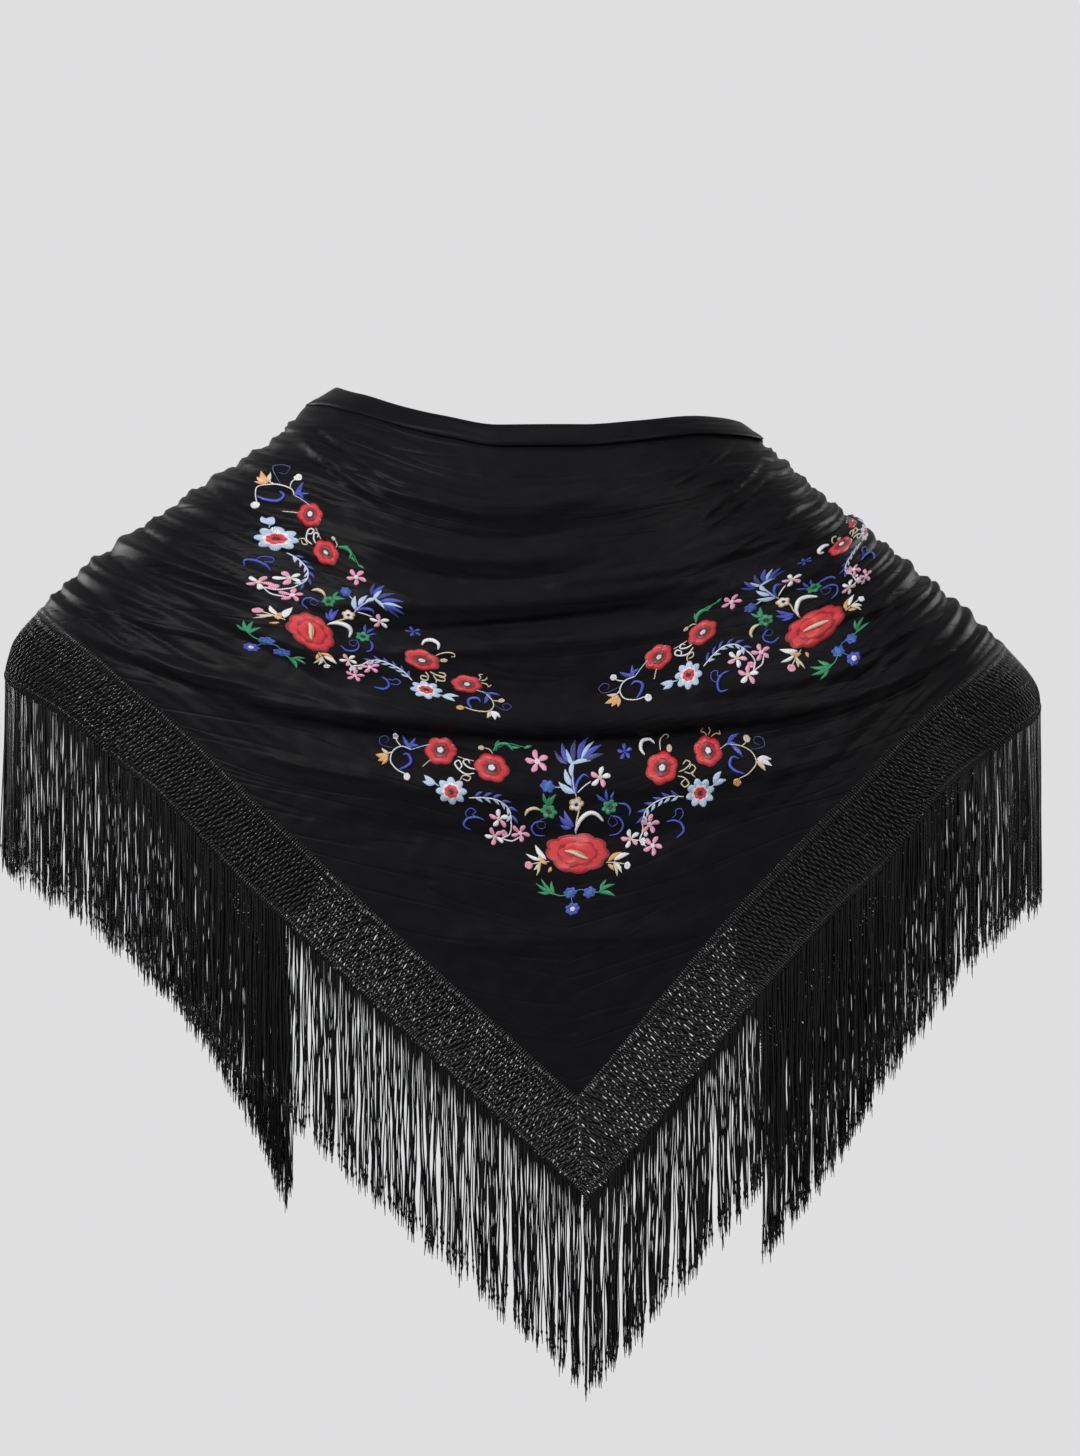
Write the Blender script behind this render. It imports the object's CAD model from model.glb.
"""Looks of the flamenco shawl: fine black cloth with three sprays of coloured embroidery, a knotted net
band and a long fringe of glossy yarn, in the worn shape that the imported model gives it.

Axes as in the model: +X to the wearer's right, +Y to the wearer's front, +Z up. Sizes are metres unless a
name says mm. The form's tables repeat the model's own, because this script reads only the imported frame."""

import math
from collections import namedtuple

import bpy
import numpy as np
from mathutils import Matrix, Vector


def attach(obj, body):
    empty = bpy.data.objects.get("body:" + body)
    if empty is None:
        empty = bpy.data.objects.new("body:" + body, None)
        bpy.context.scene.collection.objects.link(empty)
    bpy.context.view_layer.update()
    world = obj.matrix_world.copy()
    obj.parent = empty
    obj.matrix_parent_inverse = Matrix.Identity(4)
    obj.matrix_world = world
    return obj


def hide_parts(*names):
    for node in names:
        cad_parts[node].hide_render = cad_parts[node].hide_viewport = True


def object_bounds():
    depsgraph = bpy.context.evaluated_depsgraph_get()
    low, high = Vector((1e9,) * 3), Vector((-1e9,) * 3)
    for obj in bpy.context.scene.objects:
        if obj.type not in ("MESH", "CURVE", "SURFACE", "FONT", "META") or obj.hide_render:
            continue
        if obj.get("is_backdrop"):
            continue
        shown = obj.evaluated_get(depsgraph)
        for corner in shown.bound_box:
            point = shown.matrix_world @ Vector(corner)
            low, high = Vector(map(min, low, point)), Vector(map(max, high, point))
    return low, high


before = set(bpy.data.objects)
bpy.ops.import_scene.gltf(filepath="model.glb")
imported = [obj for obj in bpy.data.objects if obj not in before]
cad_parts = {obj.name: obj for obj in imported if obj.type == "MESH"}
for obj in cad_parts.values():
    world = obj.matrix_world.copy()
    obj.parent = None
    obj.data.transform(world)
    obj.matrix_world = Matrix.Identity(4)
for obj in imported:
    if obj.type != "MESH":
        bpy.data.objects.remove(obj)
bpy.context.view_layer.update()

MM = 0.001

# Sizes of the cut cloth, the net band and the fringe, as in the model
HALF_WIDTH = 0.665
CORNER_SHARE = 0.970
FLAP_WIDTH = 0.022
FLAP_LIFT = 0.0034
NET_WIDTH = 0.052
NET_MOST_DROP = 0.088
FRINGE_LENGTH = 0.140
LEAN_AT_NECK = -0.014
LEAN_AT_TIP = 0.012
TIP_HEIGHT = -0.492
SIDES = {"left": -1.0, "right": 1.0}

Ring = namedtuple("Ring", "height left right back front squareness")
RINGS = [
    Ring(0.030, 0.145, 0.104, 0.066, 0.046, 1.00),
    Ring(0.010, 0.175, 0.132, 0.088, 0.066, 1.00),
    Ring(-0.010, 0.194, 0.157, 0.102, 0.082, 1.00),
    Ring(-0.050, 0.256, 0.199, 0.115, 0.105, 1.05),
    Ring(-0.100, 0.331, 0.259, 0.121, 0.124, 1.15),
    Ring(-0.137, 0.377, 0.302, 0.122, 0.137, 1.25),
    Ring(-0.165, 0.400, 0.334, 0.122, 0.146, 1.30),
    Ring(-0.200, 0.408, 0.357, 0.120, 0.156, 1.30),
    Ring(-0.370, 0.410, 0.362, 0.108, 0.190, 1.30),
    Ring(-0.700, 0.410, 0.362, 0.092, 0.190, 1.30),
]
Edge = namedtuple("Edge", "share height angle")
TOP_EDGE = {
    "left": [
        Edge(0.00, -0.006, 0.0),
        Edge(0.04, -0.006, 9.0),
        Edge(0.10, 0.001, 22.8),
        Edge(0.20, 0.020, 54.8),
        Edge(0.30, 0.027, 90.0),
        Edge(0.36, 0.015, 119.0),
        Edge(0.45, -0.032, 143.0),
        Edge(0.60, -0.124, 154.0),
        Edge(0.80, -0.254, 156.5),
        Edge(1.00, -0.388, 149.3),
    ],
    "right": [
        Edge(0.00, -0.006, 0.0),
        Edge(0.04, -0.006, 10.8),
        Edge(0.10, -0.003, 27.1),
        Edge(0.20, 0.002, 56.0),
        Edge(0.285, -0.001, 90.0),
        Edge(0.35, -0.014, 121.0),
        Edge(0.45, -0.060, 140.0),
        Edge(0.60, -0.152, 153.0),
        Edge(0.80, -0.286, 158.5),
        Edge(1.00, -0.430, 159.0),
    ],
}
HEM = {
    "left": [
        Edge(0.00, -0.492, 0.0),
        Edge(0.163, -0.391, 15.0),
        Edge(0.318, -0.293, 30.3),
        Edge(0.463, -0.205, 46.4),
        Edge(0.557, -0.155, 64.2),
        Edge(0.615, -0.136, 90.0),
        Edge(0.66, -0.150, 112.0),
        Edge(0.77, -0.224, 133.7),
        Edge(0.88, -0.304, 144.0),
        Edge(1.00, -0.388, 149.3),
    ],
    "right": [
        Edge(0.00, -0.492, 0.0),
        Edge(0.198, -0.351, 20.7),
        Edge(0.318, -0.275, 34.9),
        Edge(0.442, -0.199, 53.6),
        Edge(0.510, -0.168, 74.0),
        Edge(0.550, -0.160, 90.0),
        Edge(0.61, -0.178, 114.0),
        Edge(0.72, -0.252, 133.5),
        Edge(0.86, -0.342, 147.0),
        Edge(1.00, -0.430, 159.0),
    ],
}
Gather = namedtuple("Gather", "spacing height reach")
GATHERS = {
    "left": [
        Gather(0.040, 0.0022, 0.10),
        Gather(0.015, 0.0030, 0.12),
        Gather(0.019, 0.0034, 0.20),
        Gather(0.026, 0.0046, 0.14),
        Gather(0.024, 0.0044, 0.10),
        Gather(0.023, 0.0042, 0.16),
        Gather(0.012, 0.0024, 0.10),
        Gather(0.016, 0.0034, 0.14),
        Gather(0.030, 0.0050, 0.22),
        Gather(0.032, 0.0048, 0.12),
        Gather(0.016, 0.0030, 0.16),
        Gather(0.022, 0.0030, 0.12),
    ],
    "right": [
        Gather(0.026, 0.0020, 0.10),
        Gather(0.014, 0.0026, 0.14),
        Gather(0.018, 0.0032, 0.20),
        Gather(0.019, 0.0034, 0.16),
        Gather(0.018, 0.0032, 0.22),
        Gather(0.017, 0.0036, 0.14),
        Gather(0.031, 0.0052, 0.18),
        Gather(0.018, 0.0036, 0.12),
        Gather(0.025, 0.0042, 0.18),
        Gather(0.028, 0.0044, 0.14),
        Gather(0.032, 0.0050, 0.20),
        Gather(0.022, 0.0030, 0.14),
    ],
}
GATHER_SKEW = 0.80
FRONT_GATHER_SHARE = 0.85
FRONT_GATHER_FADE = 0.1
GATHER_START = 0.036
GATHER_HEM = 0.88
GATHER_HEM_LOSS = 0.75
Fold = namedtuple("Fold", "start start_height end end_height sag width height")
BACK_FOLDS = [
    Fold(-0.196, -0.012, 0.070, -0.038, 0.044, 0.011, 0.0050),
    Fold(-0.188, -0.032, 0.063, -0.056, 0.044, 0.010, -0.0034),
    Fold(0.150, -0.030, 0.000, -0.072, 0.008, 0.010, 0.0040),
    Fold(-0.160, -0.078, 0.040, -0.092, 0.018, 0.011, 0.0046),
    Fold(-0.150, -0.097, 0.030, -0.108, 0.016, 0.009, -0.0034),
    Fold(0.200, -0.072, 0.020, -0.118, 0.006, 0.010, 0.0034),
    Fold(-0.200, -0.130, 0.150, -0.106, 0.016, 0.012, 0.0060),
    Fold(-0.190, -0.152, 0.150, -0.128, 0.010, 0.008, -0.0040),
    Fold(-0.150, -0.166, 0.110, -0.146, 0.010, 0.009, 0.0036),
    Fold(-0.310, -0.112, -0.120, -0.186, 0.008, 0.010, 0.0040),
    Fold(-0.345, -0.152, -0.060, -0.222, 0.020, 0.012, 0.0046),
    Fold(0.300, -0.148, 0.060, -0.196, 0.014, 0.012, 0.0050),
    Fold(-0.260, -0.192, 0.260, -0.186, 0.032, 0.013, 0.0074),
    Fold(-0.250, -0.210, 0.250, -0.202, 0.030, 0.008, -0.0052),
    Fold(-0.210, -0.252, 0.215, -0.236, 0.026, 0.015, 0.0044),
    Fold(-0.190, -0.285, 0.170, -0.280, 0.020, 0.014, -0.0036),
    Fold(-0.130, -0.372, 0.140, -0.362, 0.012, 0.012, 0.0026),
]
FRONT_FOLDS = [
    Fold(-0.330, -0.140, -0.150, -0.120, 0.012, 0.014, 0.0060),
    Fold(-0.350, -0.186, -0.150, -0.210, 0.014, 0.016, 0.0060),
    Fold(-0.300, -0.262, -0.190, -0.290, 0.006, 0.014, 0.0050),
    Fold(0.290, -0.160, 0.120, -0.132, 0.012, 0.014, 0.0060),
    Fold(0.310, -0.206, 0.110, -0.230, 0.014, 0.016, 0.0060),
    Fold(0.250, -0.282, 0.130, -0.318, 0.006, 0.014, 0.0050),
]
FOLD_TAPER = 0.30
RIDGE_CLEARANCE = 0.030
FOLD_START = 0.06
FOLD_HEM = 0.90
FOLD_HEM_LOSS = 0.7
ANGLE_STEPS = 91

# Fine creases that only the looks have, placed by hand: crisp pulls from each shoulder and elbow, the sharp
# undersides of the larger folds, and faint cross lines
BACK_CREASES = [
    Fold(-0.201, -0.004, -0.118, -0.068, 0.004, 0.0040, 0.0030),
    Fold(-0.190, 0.003, -0.104, -0.058, 0.004, 0.0035, -0.0024),
    Fold(-0.262, -0.044, -0.190, -0.092, 0.003, 0.0040, 0.0024),
    Fold(-0.330, -0.090, -0.200, -0.128, 0.004, 0.0040, 0.0030),
    Fold(-0.322, -0.099, -0.200, -0.138, 0.004, 0.0035, -0.0024),
    Fold(-0.366, -0.126, -0.236, -0.162, 0.004, 0.0040, 0.0026),
    Fold(-0.352, -0.154, -0.200, -0.196, 0.006, 0.0045, 0.0028),
    Fold(-0.345, -0.163, -0.210, -0.204, 0.006, 0.0035, -0.0022),
    Fold(0.128, -0.016, 0.070, -0.056, 0.003, 0.0035, 0.0024),
    Fold(0.150, -0.026, 0.088, -0.082, 0.004, 0.0040, 0.0026),
    Fold(0.158, -0.036, 0.096, -0.090, 0.004, 0.0030, -0.0020),
    Fold(0.184, -0.055, 0.100, -0.108, 0.004, 0.0040, 0.0028),
    Fold(0.206, -0.062, 0.116, -0.120, 0.004, 0.0040, 0.0024),
    Fold(0.276, -0.124, 0.190, -0.146, 0.003, 0.0040, 0.0026),
    Fold(0.290, -0.133, 0.200, -0.176, 0.004, 0.0040, 0.0028),
    Fold(0.304, -0.160, 0.100, -0.224, 0.012, 0.0045, 0.0032),
    Fold(0.300, -0.170, 0.110, -0.232, 0.012, 0.0035, -0.0024),
    Fold(-0.196, -0.206, 0.190, -0.208, 0.025, 0.0040, -0.0030),
    Fold(-0.100, -0.152, 0.100, -0.130, 0.003, 0.0035, -0.0026),
    Fold(-0.072, -0.162, 0.030, -0.159, 0.002, 0.0030, 0.0014),
    Fold(-0.150, -0.048, 0.020, -0.060, 0.010, 0.0060, 0.0014),
    Fold(-0.060, -0.122, 0.110, -0.104, 0.005, 0.0050, 0.0014),
    Fold(-0.045, -0.380, 0.092, -0.376, 0.001, 0.0018, -0.0012),
    Fold(-0.230, -0.240, -0.110, -0.262, 0.004, 0.0050, 0.0014),
    Fold(0.130, -0.262, 0.230, -0.232, 0.004, 0.0050, 0.0014),
]
FRONT_CREASES = [
    Fold(-0.250, -0.060, -0.160, -0.110, 0.004, 0.0045, 0.0030),
    Fold(-0.330, -0.120, -0.170, -0.150, 0.008, 0.0050, 0.0034),
    Fold(-0.350, -0.160, -0.180, -0.190, 0.006, 0.0045, -0.0026),
    Fold(-0.350, -0.200, -0.180, -0.246, 0.006, 0.0050, 0.0030),
    Fold(0.220, -0.070, 0.130, -0.120, 0.004, 0.0045, 0.0030),
    Fold(0.300, -0.150, 0.130, -0.180, 0.008, 0.0050, 0.0034),
    Fold(0.310, -0.185, 0.140, -0.214, 0.006, 0.0045, -0.0026),
    Fold(0.310, -0.225, 0.120, -0.275, 0.006, 0.0050, 0.0030),
]

# The embroidery's thread colours
THREADS = {
    "red": (0.640, 0.018, 0.028),
    "deep_red": (0.260, 0.004, 0.010),
    "light_blue": (0.420, 0.540, 0.720),
    "royal_blue": (0.035, 0.060, 0.420),
    "dark_blue": (0.020, 0.024, 0.170),
    "teal": (0.016, 0.170, 0.330),
    "green": (0.008, 0.240, 0.090),
    "pink": (0.740, 0.290, 0.440),
    "white": (0.720, 0.720, 0.740),
    "cream": (0.600, 0.500, 0.340),
    "orange": (0.640, 0.330, 0.120),
    "black": (0.006, 0.006, 0.007),
}

# Flowers are lobed rounds of satin stitch, one over another. Lift and height are in mm over the cloth.
Layer = namedtuple("Layer", "colour size lobes notch lift height")
BLOOMS = {
    "great_rose": [
        Layer("deep_red", 1.00, 9, 0.10, 0.10, 0.80),
        Layer("red", 0.92, 9, 0.13, 0.50, 0.90),
        Layer("deep_red", 0.68, 7, 0.16, 1.20, 0.30),
        Layer("red", 0.58, 6, 0.12, 1.30, 0.80),
    ],
    "rose": [
        Layer("deep_red", 1.00, 6, 0.14, 0.10, 0.70),
        Layer("red", 0.92, 6, 0.17, 0.50, 0.90),
        Layer("deep_red", 0.58, 6, 0.15, 1.15, 0.40),
        Layer("black", 0.34, 7, 0.25, 1.50, 0.10),
        Layer("white", 0.20, 5, 0.15, 1.55, 0.50),
    ],
    "blue_flower": [
        Layer("light_blue", 1.00, 8, 0.30, 0.10, 0.80),
        Layer("white", 0.62, 8, 0.20, 0.75, 0.20),
        Layer("red", 0.46, 7, 0.12, 0.85, 0.40),
        Layer("black", 0.20, 5, 0.10, 1.20, 0.10),
    ],
    "green_flower": [Layer("green", 1.00, 6, 0.30, 0.10, 0.70), Layer("black", 0.36, 5, 0.1, 0.75, 0.1)],
    "small_blue": [Layer("royal_blue", 1.00, 6, 0.26, 0.10, 0.60), Layer("teal", 0.46, 5, 0.2, 0.65, 0.3)],
    "eyed_blue": [Layer("royal_blue", 1.00, 7, 0.22, 0.10, 0.60), Layer("white", 0.36, 5, 0.2, 0.70, 0.3)],
    "cream_flower": [
        Layer("orange", 1.00, 5, 0.24, 0.10, 0.60),
        Layer("white", 0.78, 5, 0.26, 0.60, 0.30),
        Layer("black", 0.26, 5, 0.10, 0.90, 0.10),
    ],
}
for bud in ("cream", "white", "orange", "pink"):
    BLOOMS[f"{bud}_bud"] = [Layer(bud, 1.00, 5, 0.08, 0.10, 0.70)]
Bloom = namedtuple("Bloom", "kind x y width height turn")
FLOWERS = [
    Bloom("great_rose", 0.5, 0.0, 49.0, 31.0, -8.0),
    Bloom("rose", -61.0, 61.0, 27.0, 22.0, -6.0),
    Bloom("rose", -98.0, 72.0, 24.0, 22.0, 0.0),
    Bloom("rose", 63.0, 58.0, 26.0, 24.0, 20.0),
    Bloom("rose", 99.0, 70.0, 23.0, 22.0, 45.0),
    Bloom("blue_flower", -91.5, 41.5, 23.0, 22.0, 0.0),
    Bloom("blue_flower", 93.5, 40.0, 23.0, 22.0, 20.0),
    Bloom("green_flower", -20.5, 32.0, 12.5, 11.5, 0.0),
    Bloom("green_flower", 24.0, 32.8, 12.5, 11.5, 15.0),
    Bloom("cream_flower", -0.7, 37.5, 11.5, 11.5, 0.0),
    Bloom("small_blue", -21.0, 51.0, 11.0, 10.0, 0.0),
    Bloom("small_blue", -4.6, -29.5, 10.5, 9.5, 0.0),
    Bloom("small_blue", 9.9, -31.0, 10.5, 9.5, 20.0),
    Bloom("eyed_blue", -2.8, -42.5, 11.5, 10.5, 0.0),
    Bloom("white_bud", -131.8, 84.5, 5.0, 5.5, 0.0),
    Bloom("white_bud", -124.5, 53.0, 5.5, 6.0, 0.0),
    Bloom("cream_bud", 128.0, 82.0, 5.0, 5.5, 0.0),
    Bloom("orange_bud", 121.0, 50.0, 6.0, 6.0, 0.0),
    Bloom("cream_bud", -68.5, 75.0, 5.0, 3.5, 0.0),
    Bloom("cream_bud", 69.0, 71.5, 4.5, 5.5, 0.0),
    Bloom("pink_bud", -35.5, -12.5, 6.0, 6.5, 0.0),
    Bloom("white_bud", 38.5, -13.0, 5.0, 6.0, 0.0),
    Bloom("pink_bud", -53.5, 10.5, 5.0, 6.5, 20.0),
    Bloom("white_bud", 50.5, 4.0, 4.5, 6.5, 0.0),
    Bloom("white_bud", 52.5, 9.5, 3.5, 4.0, 0.0),
]

# Five-petalled flowers, their petals in two colours by turns
Star = namedtuple("Star", "x y size turn first second centre")
STARS = [
    Star(-57.0, 22.0, 15.5, 90.0, "white", "pink", "cream"),
    Star(-41.5, 12.5, 15.0, 60.0, "pink", "pink", "white"),
    Star(-61.0, 7.0, 15.5, 110.0, "pink", "white", "cream"),
    Star(55.0, 17.0, 16.0, 80.0, "pink", "pink", "white"),
    Star(40.5, 7.0, 15.0, 100.0, "white", "pink", "cream"),
    Star(58.0, 0.5, 15.5, 60.0, "pink", "pink", "white"),
    Star(16.5, 55.0, 15.5, 75.0, "white", "pink", "cream"),
    Star(-28.0, 68.0, 17.0, 100.0, "pink", "pink", "white"),
    Star(35.0, 71.0, 11.5, 90.0, "royal_blue", "royal_blue", "dark_blue"),
]

# Leaves and loose petals: where each is rooted, the way it points in degrees, and its size
Leaf = namedtuple("Leaf", "colour x y angle length width")
LEAVES = [
    Leaf("dark_blue", -7.0, 67.0, 132.0, 13.0, 4.2),
    Leaf("royal_blue", -5.0, 67.0, 110.0, 16.0, 4.8),
    Leaf("dark_blue", -2.0, 68.0, 86.0, 16.0, 4.6),
    Leaf("royal_blue", 1.0, 68.5, 66.0, 18.0, 5.0),
    Leaf("light_blue", 3.0, 69.0, 50.0, 15.0, 3.6),
    Leaf("royal_blue", 4.0, 68.0, 34.0, 17.0, 4.8),
    Leaf("dark_blue", 5.0, 67.0, 16.0, 15.0, 4.2),
    Leaf("light_blue", -4.0, 66.5, 4.0, 14.0, 3.8),
    Leaf("light_blue", -3.0, 66.0, 112.0, 12.0, 4.5),
    Leaf("light_blue", -1.5, 46.0, 142.0, 15.0, 5.5),
    Leaf("light_blue", -3.5, 51.0, 112.0, 14.0, 5.0),
    Leaf("light_blue", -4.0, 58.0, 82.0, 11.0, 4.5),
    Leaf("royal_blue", -2.0, 46.0, 92.0, 14.0, 3.5),
    Leaf("royal_blue", -2.5, 21.0, 140.0, 14.0, 4.5),
    Leaf("royal_blue", -2.5, 21.0, 118.0, 15.0, 4.5),
    Leaf("royal_blue", -4.0, 20.0, 160.0, 9.0, 3.5),
    Leaf("green", -20.5, 36.5, 112.0, 10.0, 3.5),
    Leaf("green", -19.5, 36.5, 66.0, 10.5, 3.5),
    Leaf("green", -20.0, 36.5, 88.0, 7.0, 3.0),
    Leaf("royal_blue", 22.5, 37.5, 100.0, 9.0, 3.0),
    Leaf("royal_blue", 21.5, 37.0, 140.0, 10.0, 3.0),
    Leaf("royal_blue", 25.0, 37.5, 74.0, 7.0, 2.5),
    Leaf("royal_blue", -120.0, 73.5, 118.0, 13.0, 4.0),
    Leaf("royal_blue", -121.0, 72.5, 62.0, 11.0, 3.5),
    Leaf("royal_blue", -114.0, 76.0, 165.0, 9.0, 3.0),
    Leaf("royal_blue", 114.0, 76.5, 44.0, 12.0, 3.5),
    Leaf("royal_blue", 117.0, 75.5, 318.0, 10.0, 4.0),
    Leaf("royal_blue", 112.0, 75.5, 12.0, 9.0, 3.0),
    Leaf("orange", -138.5, 71.0, 168.0, 11.0, 5.0),
    Leaf("orange", -138.5, 71.0, 196.0, 9.5, 4.5),
    Leaf("orange", -139.0, 70.5, 226.0, 8.0, 4.0),
    Leaf("cream", -138.0, 72.0, 140.0, 8.0, 3.0),
    Leaf("white", 134.5, 68.5, 346.0, 11.0, 5.0),
    Leaf("white", 134.5, 68.5, 12.0, 10.5, 4.5),
    Leaf("cream", 134.0, 67.5, 318.0, 9.0, 4.5),
    Leaf("light_blue", -103.0, 47.5, 142.0, 10.0, 5.5),
    Leaf("light_blue", -102.5, 47.5, 172.0, 10.0, 5.0),
    Leaf("light_blue", 103.5, 47.0, 62.0, 11.0, 5.5),
    Leaf("light_blue", 103.5, 46.0, 28.0, 10.5, 5.0),
    Leaf("white", -22.5, -6.0, 128.0, 13.0, 5.0),
    Leaf("white", -26.0, -7.0, 164.0, 12.0, 3.5),
    Leaf("orange", -22.0, -9.5, 140.0, 8.5, 4.5),
    Leaf("orange", -19.0, -11.0, 246.0, 5.0, 3.0),
    Leaf("cream", -26.5, -8.0, 236.0, 9.5, 3.5),
    Leaf("cream", -28.0, -8.0, 262.0, 12.0, 2.5),
    Leaf("orange", 23.5, -8.5, 30.0, 12.0, 4.5),
    Leaf("orange", 23.5, -10.5, 312.0, 7.0, 3.5),
    Leaf("white", 28.0, -8.0, 18.0, 12.5, 5.0),
    Leaf("cream", 27.5, -9.5, 286.0, 11.5, 3.0),
    Leaf("white", 28.0, -9.0, 304.0, 11.0, 3.5),
    Leaf("green", -14.5, -32.5, 158.0, 17.0, 4.0),
    Leaf("green", -17.0, -32.0, 132.0, 14.0, 3.5),
    Leaf("green", -16.5, -32.0, 102.0, 10.0, 3.5),
    Leaf("green", -19.0, -32.0, 186.0, 10.0, 3.0),
    Leaf("green", 16.5, -31.5, 342.0, 14.0, 4.0),
    Leaf("green", 17.0, -31.0, 20.0, 13.0, 3.5),
    Leaf("green", 18.0, -30.5, 60.0, 9.5, 3.5),
    Leaf("green", -57.5, 73.5, 74.0, 9.0, 3.5),
    Leaf("green", -40.0, 77.0, 168.0, 12.0, 2.5),
    Leaf("green", -37.0, 76.5, 20.0, 6.0, 2.5),
]

# Vines with pairs of leaves: the stem, then how the pairs lie along it
Vine = namedtuple("Vine", "stem upper lower pairs length")
VINES = [
    Vine([(-79, 37), (-68, 38), (-57, 37), (-49.5, 31), (-47.5, 22)], "royal_blue", "light_blue", 6, 8.0),
    Vine([(81, 37), (70, 37.5), (60, 34), (52, 28), (49, 20)], "royal_blue", "light_blue", 6, 8.0),
]

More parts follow.
